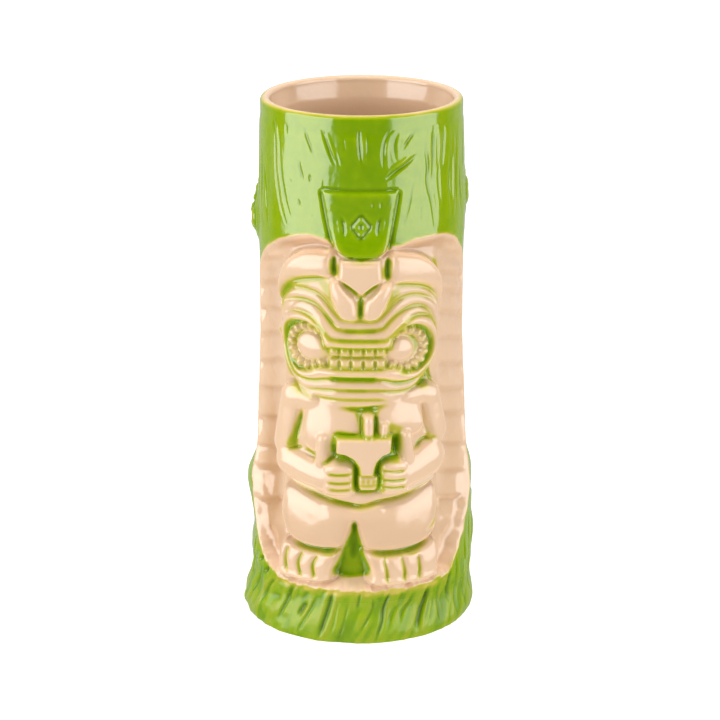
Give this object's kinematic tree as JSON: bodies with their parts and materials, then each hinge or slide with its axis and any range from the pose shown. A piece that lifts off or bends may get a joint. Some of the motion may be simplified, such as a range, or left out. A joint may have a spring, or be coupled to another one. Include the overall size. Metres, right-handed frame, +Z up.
{
  "type": "tiki mug",
  "caption": "Tall ceramic drinking cup carved as a tree stump, with a seated idol figure holding a small cup in a front niche; glazed in green and cream, standing on a bare foot ring.",
  "frame": {"origin": "middle of the base, on the surface that the mug stands on", "axes": "+Z up out of the mouth, the idol looks towards -Y, +X is to the right of someone who looks at the idol"},
  "size_m": [0.079, 0.079, 0.18],
  "materials": {
    "green_glaze": "glossy moss green glaze, thin and yellow on the ridges, dark in the gouges",
    "cream_glaze": "glossy clear glaze over cream clay, green in the creases",
    "olive_glaze": "glossy yellow olive glaze where the green thins out",
    "bare_clay": "matt unglazed clay"
  },
  "bodies": {
    "root": {"cup_body": "cream_glaze", "foot_ring": "bare_clay", "bark_front": "green_glaze", "bark_back": "green_glaze", "root_front": "green_glaze", "root_back": "green_glaze", "knot_left": "green_glaze", "knot_right": "green_glaze", "niche_arch_left": "cream_glaze", "niche_arch_right": "cream_glaze", "niche_side_left": "cream_glaze", "niche_side_right": "cream_glaze", "niche_ledge": "cream_glaze", "forehead_plaque": "green_glaze", "brow_left": "cream_glaze", "brow_right": "cream_glaze", "nose_bridge": "cream_glaze", "nostril_left": "cream_glaze", "nostril_right": "cream_glaze", "muzzle_left": "cream_glaze", "muzzle_right": "cream_glaze", "mouth_lips": "cream_glaze", "teeth_upper": "cream_glaze", "teeth_lower": "cream_glaze", "cheek_teeth_left": "olive_glaze", "cheek_teeth_right": "olive_glaze", "cheek_boss_left": "cream_glaze", "cheek_boss_right": "cream_glaze", "chin": "cream_glaze", "chest_left": "cream_glaze", "chest_right": "cream_glaze", "upper_arm_left": "cream_glaze", "upper_arm_right": "cream_glaze", "forearm_left": "cream_glaze", "forearm_right": "cream_glaze", "hand_left": "cream_glaze", "hand_right": "cream_glaze", "held_cup": "cream_glaze", "held_cup_teeth": "cream_glaze", "straws": "cream_glaze", "belly": "cream_glaze", "thigh_left": "cream_glaze", "thigh_right": "cream_glaze", "foot_left": "cream_glaze", "foot_right": "cream_glaze"}
  },
  "joints": []
}
